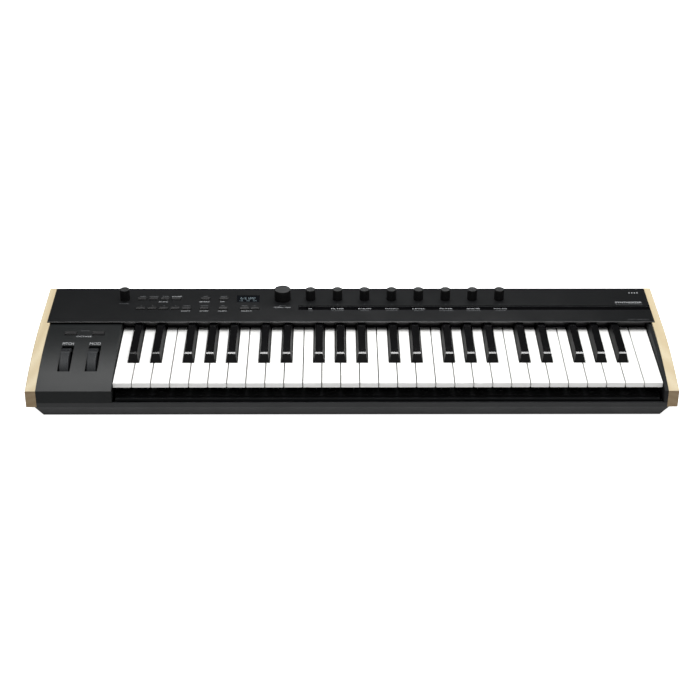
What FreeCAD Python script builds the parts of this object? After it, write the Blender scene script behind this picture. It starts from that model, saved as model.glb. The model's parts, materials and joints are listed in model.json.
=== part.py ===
import FreeCAD, Part
import math
import os

# A forty-nine key synthesizer on four rubber feet, in millimetres.
# +X runs along the keyboard to the top note, +Y points to the rear panel and +Z is up.
# The origin is on the ground, at the middle of the instrument's width and depth.
V = FreeCAD.Vector

# Whole instrument
WIDTH = 808.4
DEPTH = 232.0
FRONT = -DEPTH / 2
REAR = DEPTH / 2
FOOT_HEIGHT = 3.0
WALL = 2.5

# Wooden side pieces: level at the rear, swept down in one arc to the front
WOOD_THICKNESS = 13.0
WOOD_TOP = 60.3
WOOD_BOTTOM = 19.1
FLANK_FRONT_TOP = 42.2
FLANK_RADIUS = 527.5
INNER_X = WIDTH / 2 - WOOD_THICKNESS

# Bottom case: a tray with sides that slope in below the wood
TRAY_WAIST_Z = 19.0
TRAY_WAIST_X = INNER_X + 2.3
TRAY_FOOT_X = 385.0
TRAY_SLOPE_Y = 8.0
FRONT_WALL_TOP = 25.0
CASE_REAR = 114.0
FLOOR_TOP = FOOT_HEIGHT + WALL

# Top panel
PANEL_TOP = 61.4
PANEL_BOTTOM = 59.5
PANEL_HALF_X = 395.0
PANEL_FRONT = 23.0
FASCIA_Y = 35.2
FASCIA_BOTTOM = 45.5

# Moulded blocks at both ends of the keys
BLOCK_TOP = 57.8
BLOCK_REAR = 37.0
WHEEL_BLOCK_RIGHT = -298.0
CHEEK_LEFT = 386.6

# Keys
OCTAVE = 165.0
PITCH = OCTAVE / 7
KEYS_LEFT = -297.4
KEY_GAP = 1.15
KEY_TOP = 46.7
KEY_FRONT = -104.0
KEY_LIP = 6.5
KEY_LIP_DEPTH = 14.0
KEY_HEIGHT = 14.0
KEY_SKIN = 2.0
KEY_WALL = 1.5
KEY_REAR = 34.7
NATURALS = ("c", "d", "e", "f", "g", "a", "b")
SHARP_FRONT = -54.4
SHARP_REAR = 34.0
SHARP_HEIGHT = 11.5
SHARP_WIDTH = 13.2
SHARP_TOP_WIDTH = 9.2
SHARP_FRONT_SLOPE = 4.4
SHARP_FACET_DEPTH = 1.9
SHARP_FACET_DROP = 1.25
NOTCH_WIDTH = 15.0
NOTCH_FRONT = SHARP_FRONT - 1.0
SHARPS = {
    1: ("c_sharp", -2.4),
    2: ("d_sharp", 2.4),
    4: ("f_sharp", -3.8),
    5: ("g_sharp", 0.0),
    6: ("a_sharp", 3.8),
}
OCTAVES = 4
SINGLE_OCTAVE = 2

# Key pivot
PIVOT_Y = 81.0
PIVOT_Z = 36.0
PIVOT_RADIUS = 1.5
RUNNING_CLEARANCE = 0.05
BOSS_WIDTH = 8.0
BOSS_RADIUS = 4.6

# Key frame
FRAME_BOTTOM = 18.2
FRAME_TOP = 20.7
FRAME_LEFT = -296.0
FRAME_RIGHT = 385.0

# Rotary controls in one row on the top panel
KNOB_Y = 83.8
KNOB_FIRST_X = -53.9
KNOB_PITCH = 35.8
KNOB_COUNT = 8
VOLUME_X = -300.0
DIAL_X = -91.0
KNOB_RADIUS = 6.5
DIAL_RADIUS = 10.9
KNOB_BOTTOM = PANEL_TOP + 0.6
KNOB_TOP = PANEL_TOP + 15.2
SHAFT_RADIUS = 3.0
SHAFT_BOTTOM = 53.3
SHAFT_TOP = 70.0

# Push buttons on the top panel: two rows that share their columns
UPPER_ROW_Y = 84.0
LOWER_ROW_Y = 58.0
GRID_FIRST_X = -277.3
GRID_PITCH = 15.1
COLUMN_A_X = -216.8
COLUMN_B_X = -193.5
COLUMN_C_X = -168.8
MENU_X = (-140.4, -127.0)
BUTTON_WIDTH = 11.8
BUTTON_DEPTH = 5.6
BUTTON_PROUD = 1.3
BUTTON_GAP = 0.4
BUTTON_TRAVEL = 0.8

# Circuit boards
BOARD_THICKNESS = 1.6
SWITCH_HALF = 3.0
SWITCH_HEIGHT = 2.4
CONTROL_BOARD_Z = 50.0
OCTAVE_BOARD_Z = 46.0
MAIN_BOARD_Z = 33.0

# Display window and the long display strip
DISPLAY_X = -136.8
DISPLAY_Y = 84.9
DISPLAY_WIDTH = 29.8
DISPLAY_DEPTH = 18.4
STRIP_LEFT = -69.9
STRIP_FRONT = 54.7
STRIP_REAR = 66.3

# Pitch and modulation wheels
WHEEL_X = (-360.7, -326.4)
WHEEL_Y = -55.0
WHEEL_Z = 35.3
WHEEL_RADIUS = 28.0
WHEEL_WIDTH = 11.4
WHEEL_AXLE_RADIUS = 2.5
SLOT_WIDTH = 15.5
SLOT_LENGTH = 52.0
BEARING_REACH = 10.3
BEARING_PLATE = 2.1
WHEEL_POT = 7.7
WHEEL_POT_BORE = 4.0

# Octave buttons beside the wheels
OCTAVE_BUTTON_X = (-361.2, -325.9)
OCTAVE_BUTTON_Y = -0.6
OCTAVE_BUTTON_WIDTH = 15.4
OCTAVE_BUTTON_DEPTH = 7.6

# Rear sockets
SOCKET_Z = 41.1
JACK_X = (-60.0, -30.0, 0.0, 30.0)
JACK_BORE_RADIUS = 3.2
JACK_BORE_LENGTH = 20.0
JACK_NOSE_RADIUS = 4.5
JACK_NOSE_PROUD = 1.6
JACK_NUT_RADIUS = 6.0
JACK_NUT_DEPTH = 1.4
USB_X = -120.0
POWER_X = -160.0

# Screws
SCREW_RADIUS = 1.5
SCREW_HEAD_RADIUS = 2.9
SCREW_CLEARANCE = 0.3
SCREW_HEAD_SEAT = 11.0
SCREW_HEAD_HEIGHT = 2.0
SIDE_SCREW_DEPTH = 8.0
FLOOR_SCREW_X = (-270.0, -140.0, 0.0, 140.0, 260.0, 370.0)
FLOOR_SCREW_Y = (-60.0, 60.0)
SIDE_SCREWS = ((-80.0, 21.9), (0.0, 21.9), (80.0, 40.0))


def box(x0, x1, y0, y1, z0, z1):
    return Part.makeBox(x1 - x0, y1 - y0, z1 - z0, V(x0, y0, z0))


def rod_x(x0, x1, y, z, radius):
    return Part.makeCylinder(radius, x1 - x0, V(x0, y, z), V(1, 0, 0))


def rod_y(x, y0, y1, z, radius):
    return Part.makeCylinder(radius, y1 - y0, V(x, y0, z), V(0, 1, 0))


def rod_z(x, y, z0, z1, radius):
    return Part.makeCylinder(radius, z1 - z0, V(x, y, z0), V(0, 0, 1))


def join(shapes):
    """One solid from pieces that overlap or share faces."""
    return shapes[0].multiFuse(shapes[1:]).removeSplitter()


def rectangle(x0, x1, y0, y1, z):
    return Part.makePolygon([V(x0, y0, z), V(x1, y0, z), V(x1, y1, z), V(x0, y1, z), V(x0, y0, z)])


def taper(low, high):
    """Solid with flat sides between two rectangles, each given as x0, x1, y0, y1, z."""
    return Part.makeLoft([rectangle(*low), rectangle(*high)], True, True)


def prism_x(points, x0, x1):
    """Straight solid between x0 and x1 whose outline is a list of (y, z) corners."""
    corners = [V(x0, y, z) for y, z in points]
    outline = Part.makePolygon(corners + corners[:1])
    return Part.Face(outline).extrude(V(x1 - x0, 0, 0))


def swept_block(x0, x1, rear, bottom, top, inset=0.0):
    """Block with a level top that falls in an arc to the front face, grown inwards by inset."""
    drop = top - FLANK_FRONT_TOP
    arc_rear = FRONT + math.sqrt(FLANK_RADIUS ** 2 - (FLANK_RADIUS - drop) ** 2)
    centre_z = top - FLANK_RADIUS
    radius = FLANK_RADIUS - inset
    front = FRONT + inset
    half = math.asin((arc_rear - front) / radius) / 2
    arc_front = V(x0, front, centre_z + radius * math.cos(2 * half))
    arc_middle = V(x0, arc_rear - radius * math.sin(half), centre_z + radius * math.cos(half))
    arc_end = V(x0, arc_rear, centre_z + radius)
    rear_top = V(x0, rear, centre_z + radius)
    rear_low = V(x0, rear, bottom)
    front_low = V(x0, front, bottom)
    edges = [
        Part.Arc(arc_front, arc_middle, arc_end).toShape(),
        Part.LineSegment(arc_end, rear_top).toShape(),
        Part.LineSegment(rear_top, rear_low).toShape(),
        Part.LineSegment(rear_low, front_low).toShape(),
        Part.LineSegment(front_low, arc_front).toShape(),
    ]
    return Part.Face(Part.Wire(edges)).extrude(V(x1 - x0, 0, 0))


def rounded(shape, radius, wanted):
    """Fillet the edges whose two ends both satisfy the test."""
    edges = [edge for edge in shape.Edges if all(wanted(vertex.Point) for vertex in edge.Vertexes)]
    return shape.makeFillet(radius, edges)


def same(a, b):
    return abs(a - b) < 0.01


def save(node, shape):
    shape.exportStep("parts/" + node + ".step")


# ---- Case ----

def bottom_case():
    """Tray with sloped skirts, a low front wall, full end walls at the rear and screw bosses."""
    slope_rear = CASE_REAR - TRAY_SLOPE_Y
    outer = taper((-TRAY_FOOT_X, TRAY_FOOT_X, FRONT + TRAY_SLOPE_Y, slope_rear, FOOT_HEIGHT),
                  (-TRAY_WAIST_X, TRAY_WAIST_X, FRONT, CASE_REAR, TRAY_WAIST_Z))
    end = INNER_X - WALL
    foot = TRAY_FOOT_X - WALL
    inner = taper((-foot, foot, FRONT + TRAY_SLOPE_Y + WALL, slope_rear - WALL, FLOOR_TOP),
                  (-end, end, FRONT + WALL, CASE_REAR - WALL, TRAY_WAIST_Z))
    pieces = [outer.cut(inner)]
    pieces.append(box(-INNER_X, INNER_X, FRONT, FRONT + WALL, TRAY_WAIST_Z, FRONT_WALL_TOP))
    for x0, x1 in ((-INNER_X, -end), (end, INNER_X)):
        pieces.append(box(x0, x1, FRONT, CASE_REAR, TRAY_WAIST_Z, FRONT_WALL_TOP))
        pieces.append(box(x0, x1, BLOCK_REAR + 0.3, CASE_REAR, FRONT_WALL_TOP, PANEL_BOTTOM - 0.1))
    for x in FLOOR_SCREW_X:
        for y in FLOOR_SCREW_Y:
            pieces.append(rod_z(x, y, FLOOR_TOP, FRAME_BOTTOM, 5.0))
    tray = join(pieces)
    holes = []
    for x in FLOOR_SCREW_X:
        for y in FLOOR_SCREW_Y:
            holes.append(rod_z(x, y, FOOT_HEIGHT, SCREW_HEAD_SEAT, SCREW_HEAD_RADIUS + 0.7))
            holes.append(rod_z(x, y, SCREW_HEAD_SEAT, FRAME_BOTTOM, SCREW_RADIUS + SCREW_CLEARANCE))
    for y, z in SIDE_SCREWS:
        for x0 in (-INNER_X, end):
            holes.append(rod_x(x0, x0 + WALL, y, z, SCREW_RADIUS + SCREW_CLEARANCE))
    return tray.cut(Part.makeCompound(holes))


def wood_side(sign):
    """Solid wooden end piece with a shallow rebate that the top panel's edge lies in."""
    outer = sign * WIDTH / 2
    inner = sign * INNER_X
    side = swept_block(min(inner, outer), max(inner, outer), REAR, WOOD_BOTTOM, WOOD_TOP)
    side = rounded(side, 1.0, lambda p: same(p.x, outer) and p.z > WOOD_BOTTOM + 1 and p.y < REAR - 1)
    edge = sign * (PANEL_HALF_X + 0.2)
    rebate = box(min(inner, edge), max(inner, edge), PANEL_FRONT - 0.3, REAR, PANEL_BOTTOM - 0.1, WOOD_TOP)
    bottom = sign * (INNER_X + SIDE_SCREW_DEPTH + 1.0)
    pilots = [rod_x(min(inner, bottom), max(inner, bottom), y, z, SCREW_RADIUS) for y, z in SIDE_SCREWS]
    return side.cut(Part.makeCompound([rebate] + pilots))


def top_panel():
    """Thin panel over the rear half, with a lip over the keys and a fascia set back below it."""
    plate = box(-PANEL_HALF_X, PANEL_HALF_X, PANEL_FRONT, CASE_REAR, PANEL_BOTTOM, PANEL_TOP)
    plate = plate.makeChamfer(0.5, [edge for edge in plate.Edges if all(
        same(v.Point.z, PANEL_TOP) for v in edge.Vertexes)])
    pieces = [plate]
    pieces.append(box(WHEEL_BLOCK_RIGHT + 0.4, CHEEK_LEFT - 0.4, FASCIA_Y, FASCIA_Y + 2.0,
                      FASCIA_BOTTOM, PANEL_BOTTOM))
    for x in (-305.0, -180.0, -72.0, 70.0, 205.0):
        for y in (50.5, 101.0):
            pieces.append(rod_z(x, y, CONTROL_BOARD_Z + BOARD_THICKNESS, PANEL_BOTTOM, 3.0))
    panel = join(pieces)
    holes = [rod_z(x, KNOB_Y, PANEL_BOTTOM, PANEL_TOP, 3.8) for x in rotary_x().values()]
    for x, y in panel_button_places():
        holes.append(box(x - BUTTON_WIDTH / 2 - BUTTON_GAP, x + BUTTON_WIDTH / 2 + BUTTON_GAP,
                         y - BUTTON_DEPTH / 2 - BUTTON_GAP, y + BUTTON_DEPTH / 2 + BUTTON_GAP,
                         PANEL_BOTTOM, PANEL_TOP))
    holes.append(display_box(0.15, PANEL_BOTTOM, PANEL_TOP))
    bevel = 0.6
    floor = PANEL_TOP - 1.2
    holes.append(prism_x([(STRIP_FRONT, PANEL_TOP), (STRIP_FRONT, floor), (STRIP_REAR - bevel, floor),
                          (STRIP_REAR, PANEL_TOP)], STRIP_LEFT, PANEL_HALF_X))
    return panel.cut(Part.makeCompound(holes))


def wheel_panel():
    """Moulded cover at the left of the keys, with two wheel slots and two button openings."""
    outer = swept_block(-INNER_X, WHEEL_BLOCK_RIGHT, BLOCK_REAR, FRONT_WALL_TOP, BLOCK_TOP)
    inner = swept_block(WALL - INNER_X, WHEEL_BLOCK_RIGHT - WALL, BLOCK_REAR, FRONT_WALL_TOP, BLOCK_TOP, WALL)
    shell = outer.cut(inner)
    post_top = BLOCK_TOP - WALL
    posts = [rod_z(-343.5, y, OCTAVE_BOARD_Z + BOARD_THICKNESS, post_top, 2.5) for y in (-5.0, 4.0)]
    shell = join([shell] + posts)
    holes = [box(x - SLOT_WIDTH / 2, x + SLOT_WIDTH / 2, WHEEL_Y - SLOT_LENGTH / 2, WHEEL_Y + SLOT_LENGTH / 2,
                 FLANK_FRONT_TOP, WOOD_TOP) for x in WHEEL_X]
    half_x = OCTAVE_BUTTON_WIDTH / 2 + BUTTON_GAP
    half_y = OCTAVE_BUTTON_DEPTH / 2 + BUTTON_GAP
    for x in OCTAVE_BUTTON_X:
        holes.append(box(x - half_x, x + half_x, OCTAVE_BUTTON_Y - half_y, OCTAVE_BUTTON_Y + half_y,
                         FLANK_FRONT_TOP, WOOD_TOP))
    return shell.cut(Part.makeCompound(holes))


def rear_panel():
    """Flat rear wall with holes for the jacks, the data socket and the power button."""
    half = INNER_X - WALL - 0.1
    plate = box(-half, half, CASE_REAR - WALL, CASE_REAR, TRAY_WAIST_Z + 0.1, PANEL_BOTTOM - 0.1)
    holes = [rod_y(x, CASE_REAR - WALL, CASE_REAR, SOCKET_Z, JACK_NOSE_RADIUS + 0.2) for x in JACK_X]
    holes.append(rod_y(POWER_X, CASE_REAR - WALL, CASE_REAR, SOCKET_Z, 4.4))
    holes.append(box(USB_X - 4.8, USB_X + 4.8, CASE_REAR - WALL, CASE_REAR, SOCKET_Z - 1.9, SOCKET_Z + 1.9))
    return plate.cut(Part.makeCompound(holes))


def rubber_feet():
    """Four turned rubber feet, glued under the tray."""
    feet = [Part.makeCone(8.5, 9.5, FOOT_HEIGHT, V(x, y, 0)) for x in (-345.0, 345.0) for y in (-84.0, 84.0)]
    return Part.makeCompound(feet)


def case_screws():
    """Pan-head screws: a row up through the floor into the key frame, and three into each wooden side."""
    screws = []
    for x in FLOOR_SCREW_X:
        for y in FLOOR_SCREW_Y:
            head = rod_z(x, y, SCREW_HEAD_SEAT - SCREW_HEAD_HEIGHT, SCREW_HEAD_SEAT, SCREW_HEAD_RADIUS)
            screws.append(head.fuse(rod_z(x, y, SCREW_HEAD_SEAT, FRAME_TOP, SCREW_RADIUS)))
    end = INNER_X - WALL
    tip = INNER_X + SIDE_SCREW_DEPTH
    for y, z in SIDE_SCREWS:
        right_head = rod_x(end - SCREW_HEAD_HEIGHT, end, y, z, SCREW_HEAD_RADIUS)
        screws.append(right_head.fuse(rod_x(end, tip, y, z, SCREW_RADIUS)))
        left_head = rod_x(-end, SCREW_HEAD_HEIGHT - end, y, z, SCREW_HEAD_RADIUS)
        screws.append(left_head.fuse(rod_x(-tip, -end, y, z, SCREW_RADIUS)))
    return Part.makeCompound(screws)


# ---- Keys ----

def sharp_centre(boundary):
    """Middle of the sharp that stands over the given natural boundary of an octave."""
    return boundary * PITCH + SHARPS[boundary][1]


def natural_tail(index, top_note=False):
    """Left and right edges of a natural where it runs between the sharps, from its octave's left edge."""
    left = index * PITCH + KEY_GAP / 2
    right = (index + 1) * PITCH - KEY_GAP / 2
    if index in SHARPS:
        left = sharp_centre(index) + NOTCH_WIDTH / 2
    if index + 1 in SHARPS and not top_note:
        right = sharp_centre(index + 1) - NOTCH_WIDTH / 2
    return left, right


def key_tail(centre, front):
    """Arm from the key's rear wall back to its pivot boss."""
    left = centre - BOSS_WIDTH / 2
    right = centre + BOSS_WIDTH / 2
    arm = box(left, right, front, PIVOT_Y, KEY_TOP - KEY_HEIGHT + 0.3, PIVOT_Z + BOSS_RADIUS)
    boss = rod_x(left, right, PIVOT_Y, PIVOT_Z, BOSS_RADIUS)
    return arm, boss


def pivot_hole(centre):
    radius = PIVOT_RADIUS + RUNNING_CLEARANCE
    return rod_x(centre - BOSS_WIDTH / 2, centre + BOSS_WIDTH / 2, PIVOT_Y, PIVOT_Z, radius)


def natural_key(index, top_note=False):
    """Hollow moulded natural with a shallow front lip, cut away beside the sharps."""
    left = index * PITCH + KEY_GAP / 2
    right = (index + 1) * PITCH - KEY_GAP / 2
    tail_left, tail_right = natural_tail(index, top_note)
    low = KEY_TOP - KEY_HEIGHT
    head = box(left, right, KEY_FRONT, NOTCH_FRONT, low, KEY_TOP)
    neck = box(tail_left, tail_right, KEY_FRONT, KEY_REAR, low, KEY_TOP)
    body = head.fuse(neck).removeSplitter()
    body = rounded(body, 0.7, lambda p: same(p.z, KEY_TOP) or same(p.y, KEY_FRONT))
    head_room = box(left + KEY_WALL, right - KEY_WALL, KEY_FRONT + KEY_SKIN, NOTCH_FRONT - KEY_WALL,
                    low, KEY_TOP - KEY_SKIN)
    neck_room = box(tail_left + KEY_WALL, tail_right - KEY_WALL, NOTCH_FRONT - 2 * KEY_WALL,
                    KEY_REAR - KEY_SKIN, low, KEY_TOP - KEY_SKIN)
    lip_room = box(left, right, KEY_FRONT, KEY_FRONT + KEY_LIP_DEPTH, low, KEY_TOP - KEY_LIP)
    body = body.cut(Part.makeCompound([head_room.fuse(neck_room)])).cut(lip_room)
    centre = (tail_left + tail_right) / 2
    arm, boss = key_tail(centre, KEY_REAR - 1.0)
    return join([body, arm, boss]).cut(pivot_hole(centre))


def sharp_key(boundary):
    """Hollow sharp with a tapered cap that leans back at the front, below a flat facet."""
    centre = sharp_centre(boundary)
    low = KEY_TOP - KEY_HEIGHT
    half = SHARP_WIDTH / 2
    top_half = SHARP_TOP_WIDTH / 2
    top = KEY_TOP + SHARP_HEIGHT
    base = box(centre - half, centre + half, SHARP_FRONT, SHARP_REAR, low, KEY_TOP)
    cap = taper((centre - half, centre + half, SHARP_FRONT, SHARP_REAR, KEY_TOP),
                (centre - top_half, centre + top_half, SHARP_FRONT + SHARP_FRONT_SLOPE, SHARP_REAR, top))
    front_top = SHARP_FRONT + SHARP_FRONT_SLOPE
    facet_top = front_top + SHARP_FACET_DEPTH
    facet_front = front_top - SHARP_FRONT_SLOPE / SHARP_HEIGHT * SHARP_FACET_DROP
    facet_low = top - SHARP_FACET_DROP
    wedge = [(facet_top, top), (facet_front, facet_low), (facet_front - 1.0, top), (facet_top, top + 1.0)]
    cap = cap.cut(prism_x(wedge, centre - half, centre + half))
    cap = rounded(cap, 1.0, lambda p: p.z > top - 0.1 and p.y > facet_top - 0.1)
    room = box(centre - half + KEY_WALL, centre + half - KEY_WALL, SHARP_FRONT + KEY_SKIN,
               SHARP_REAR - KEY_SKIN, low, KEY_TOP)
    cap_room = taper((centre - half + KEY_WALL, centre + half - KEY_WALL, SHARP_FRONT + KEY_SKIN,
                      SHARP_REAR - KEY_SKIN, KEY_TOP),
                     (centre - top_half + KEY_WALL, centre + top_half - KEY_WALL,
                      front_top + KEY_SKIN, SHARP_REAR - KEY_SKIN, top - KEY_SKIN))
    body = base.fuse(cap).cut(room.fuse(cap_room))
    arm, boss = key_tail(centre, SHARP_REAR - 1.0)
    return join([body, arm, boss]).cut(pivot_hole(centre))


def octave_left(octave):
    return KEYS_LEFT + octave * OCTAVE


def pivot_centres():
    """Middle of every key's pivot boss, from the lowest note to the highest."""
    centres = []
    for octave in range(OCTAVES):
        offsets = [sum(natural_tail(index)) / 2 for index in range(len(NATURALS))]
        offsets += [sharp_centre(boundary) for boundary in SHARPS]
        centres += [octave_left(octave) + offset for offset in sorted(offsets)]
    centres.append(octave_left(OCTAVES) + sum(natural_tail(0, True)) / 2)
    return centres


def save_keys():
    """One octave has a node for each key; the keys on both sides of it share two nodes."""
    naturals = [natural_key(index) for index in range(len(NATURALS))]
    sharps = {boundary: sharp_key(boundary) for boundary in SHARPS}
    other_naturals = [natural_key(0, True).translated(V(octave_left(OCTAVES), 0, 0))]
    other_sharps = []
    for octave in range(OCTAVES):
        move = V(octave_left(octave), 0, 0)
        for index, key in enumerate(naturals):
            if octave == SINGLE_OCTAVE:
                save("key_" + NATURALS[index], key.translated(move))
            else:
                other_naturals.append(key.translated(move))
        for boundary, key in sharps.items():
            if octave == SINGLE_OCTAVE:
                save("key_" + SHARPS[boundary][0], key.translated(move))
            else:
                other_sharps.append(key.translated(move))
    save("outer_natural_keys", Part.makeCompound(other_naturals))
    save("outer_sharp_keys", Part.makeCompound(other_sharps))


# ---- Key bed ----

def key_frame():
    """Moulded chassis: plate, a front guide in every key and a post between neighbouring pivots."""
    pieces = [box(FRAME_LEFT, FRAME_RIGHT, -100.0, 100.0, FRAME_BOTTOM, FRAME_TOP)]
    centres = pivot_centres()
    middles = [(a + b) / 2 for a, b in zip(centres, centres[1:])]
    for x in [centres[0] - 7.0] + middles + [centres[-1] + 9.0]:
        pieces.append(box(x - 1.75, x + 1.75, PIVOT_Y - 4.0, PIVOT_Y + 4.0, FRAME_BOTTOM, 40.0))
    for number in range(OCTAVES * len(NATURALS) + 1):
        x = KEYS_LEFT + (number + 0.5) * PITCH
        pieces.append(box(x - 4.0, x + 4.0, -80.0, -74.0, FRAME_BOTTOM, 34.5))
    for octave in range(OCTAVES):
        for boundary in SHARPS:
            x = octave_left(octave) + sharp_centre(boundary)
            pieces.append(box(x - 3.0, x + 3.0, -44.0, -38.0, FRAME_BOTTOM, 34.5))
    frame = join(pieces)
    holes = [rod_x(FRAME_LEFT - 5.0, FRAME_RIGHT + 5.0, PIVOT_Y, PIVOT_Z, PIVOT_RADIUS)]
    for x in FLOOR_SCREW_X:
        for y in FLOOR_SCREW_Y:
            holes.append(rod_z(x, y, FRAME_BOTTOM, FRAME_TOP, SCREW_RADIUS))
    return frame.cut(Part.makeCompound(holes))


def key_pivot_rod():
    centres = pivot_centres()
    return rod_x(centres[0] - 9.0, centres[-1] + 11.0, PIVOT_Y, PIVOT_Z, PIVOT_RADIUS)


def key_stop_felt():
    """Felt strip that the pressed keys land on."""
    return box(FRAME_LEFT, FRAME_RIGHT, -96.0, -84.0, FRAME_TOP, 23.0)


def key_spring_comb():
    """Sprung steel strip behind the pivot, with one finger under each key's arm."""
    thickness = 0.6
    fingers = [box(FRAME_LEFT, FRAME_RIGHT, 88.0, 99.0, FRAME_TOP, FRAME_TOP + thickness)]
    outline = [(90.0, FRAME_TOP), (90.0, FRAME_TOP + thickness), (60.0, 30.6), (60.0, 30.6 - thickness)]
    for x in pivot_centres():
        fingers.append(prism_x(outline, x - 1.5, x + 1.5))
    return join(fingers)


def key_contact_board():
    return box(FRAME_LEFT + 2.0, FRAME_RIGHT - 1.0, -2.0, 14.0, FRAME_TOP, FRAME_TOP + BOARD_THICKNESS)


def key_contact_domes():
    """One rubber dome switch under each key."""
    bottom = FRAME_TOP + BOARD_THICKNESS
    return Part.makeCompound([Part.makeCone(3.0, 2.2, 4.5, V(x, 6.0, bottom)) for x in pivot_centres()])


# ---- Controls ----

def rotary_x():
    places = {"volume_knob": VOLUME_X, "data_dial": DIAL_X}
    for number in range(KNOB_COUNT):
        places["knob_" + str(number + 1)] = KNOB_FIRST_X + number * KNOB_PITCH
    return places


def grid_x():
    return [GRID_FIRST_X + number * GRID_PITCH for number in range(4)]


def panel_button_groups():
    """Every node of panel buttons, with the middles of the buttons that it holds."""
    return {
        "upper_grid_buttons": [(x, UPPER_ROW_Y) for x in grid_x()],
        "lower_grid_buttons": [(x, LOWER_ROW_Y) for x in grid_x()],
        "shift_button": [(COLUMN_A_X, LOWER_ROW_Y)],
        "upper_left_button": [(COLUMN_B_X, UPPER_ROW_Y)],
        "lower_left_button": [(COLUMN_B_X, LOWER_ROW_Y)],
        "upper_right_button": [(COLUMN_C_X, UPPER_ROW_Y)],
        "lower_right_button": [(COLUMN_C_X, LOWER_ROW_Y)],
        "menu_buttons": [(x, LOWER_ROW_Y) for x in MENU_X],
    }


def panel_button_places():
    return [place for places in panel_button_groups().values() for place in places]


def display_box(gap, z0, z1):
    half_x = DISPLAY_WIDTH / 2 + gap
    half_y = DISPLAY_DEPTH / 2 + gap
    return box(DISPLAY_X - half_x, DISPLAY_X + half_x, DISPLAY_Y - half_y, DISPLAY_Y + half_y, z0, z1)


def knob(x, radius):
    """Tapered knob cap with a shallow dish and a pointer slot, pressed on its steel shaft."""
    cap = Part.makeCone(radius, radius * 0.9, KNOB_TOP - KNOB_BOTTOM, V(x, KNOB_Y, KNOB_BOTTOM))
    cap = cap.makeFillet(0.6, [edge for edge in cap.Edges if same(edge.BoundBox.ZMin, KNOB_TOP)])
    cap = cap.cut(rod_z(x, KNOB_Y, KNOB_BOTTOM, SHAFT_TOP, SHAFT_RADIUS))
    cap = cap.cut(box(x - 0.4, x + 0.4, KNOB_Y + radius * 0.35, KNOB_Y + radius, KNOB_TOP - 0.4, KNOB_TOP))
    return Part.makeCompound([cap, rod_z(x, KNOB_Y, SHAFT_BOTTOM, SHAFT_TOP, SHAFT_RADIUS)])


def wheel(x):
    """Thumb wheel with a finger notch across its rim, on its own axle."""
    disc = rod_x(x - WHEEL_WIDTH / 2, x + WHEEL_WIDTH / 2, WHEEL_Y, WHEEL_Z, WHEEL_RADIUS)
    rims = [edge for edge in disc.Edges if edge.Length > 100 and len(edge.Vertexes) == 1]
    disc = disc.makeFillet(1.2, rims)
    notch = rod_x(x - WHEEL_WIDTH / 2, x + WHEEL_WIDTH / 2, WHEEL_Y, WHEEL_Z + WHEEL_RADIUS + 0.9, 2.2)
    return disc.cut(notch)


def wheel_with_axle(x, left, right):
    axle = rod_x(left, right, WHEEL_Y, WHEEL_Z, WHEEL_AXLE_RADIUS)
    return wheel(x).fuse(axle)


def wheel_bracket():
    """Moulded cradle on the case floor: four bearing plates tied by a bar in front and one behind."""
    reach = WHEEL_RADIUS + 1.0
    bar = 4.0
    sill = 12.0
    plates = []
    for x in WHEEL_X:
        for x0 in (x - BEARING_REACH, x + BEARING_REACH - BEARING_PLATE):
            x1 = x0 + BEARING_PLATE
            plates.append(box(x0, x1, WHEEL_Y - reach - bar, WHEEL_Y + reach + bar, FLOOR_TOP, sill))
            plates.append(box(x0, x1, WHEEL_Y - 7.0, WHEEL_Y + 7.0, FLOOR_TOP, WHEEL_Z + 6.5))
    x0 = WHEEL_X[0] - BEARING_REACH
    x1 = WHEEL_X[1] + BEARING_REACH
    plates.append(box(x0, x1, WHEEL_Y - reach - bar, WHEEL_Y - reach, FLOOR_TOP, sill))
    plates.append(box(x0, x1, WHEEL_Y + reach, WHEEL_Y + reach + bar, FLOOR_TOP, sill))
    bore = rod_x(x0, x1, WHEEL_Y, WHEEL_Z, WHEEL_AXLE_RADIUS + RUNNING_CLEARANCE)
    return join(plates).cut(bore)


def control_pots():
    """Potentiometers and the dial's encoder under the panel, and one on each wheel's axle."""
    low = CONTROL_BOARD_Z + BOARD_THICKNESS
    pots = []
    for x in rotary_x().values():
        body = box(x - 5.0, x + 5.0, KNOB_Y - 5.5, KNOB_Y + 5.5, low, 58.5)
        bush = rod_z(x, KNOB_Y, 58.5, 60.9, 3.5)
        bore = rod_z(x, KNOB_Y, SHAFT_BOTTOM - 0.2, 61.0, SHAFT_RADIUS + RUNNING_CLEARANCE)
        pots.append(body.fuse(bush).cut(bore))
    radius = WHEEL_AXLE_RADIUS + RUNNING_CLEARANCE
    left = WHEEL_X[0] - BEARING_REACH
    right = WHEEL_X[1] + BEARING_REACH
    body = box(left - WHEEL_POT, left, WHEEL_Y - 6.0, WHEEL_Y + 6.0, WHEEL_Z - 6.0, WHEEL_Z + 6.0)
    pots.append(body.cut(rod_x(left - WHEEL_POT_BORE, left, WHEEL_Y, WHEEL_Z, radius)))
    body = box(right, right + WHEEL_POT, WHEEL_Y - 6.0, WHEEL_Y + 6.0, WHEEL_Z - 6.0, WHEEL_Z + 6.0)
    pots.append(body.cut(rod_x(right, right + WHEEL_POT_BORE, WHEEL_Y, WHEEL_Z, radius)))
    return Part.makeCompound(pots)


def tact_switch(x, y, board_z):
    low = board_z + BOARD_THICKNESS
    return box(x - SWITCH_HALF, x + SWITCH_HALF, y - SWITCH_HALF, y + SWITCH_HALF, low, low + SWITCH_HEIGHT)


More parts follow.
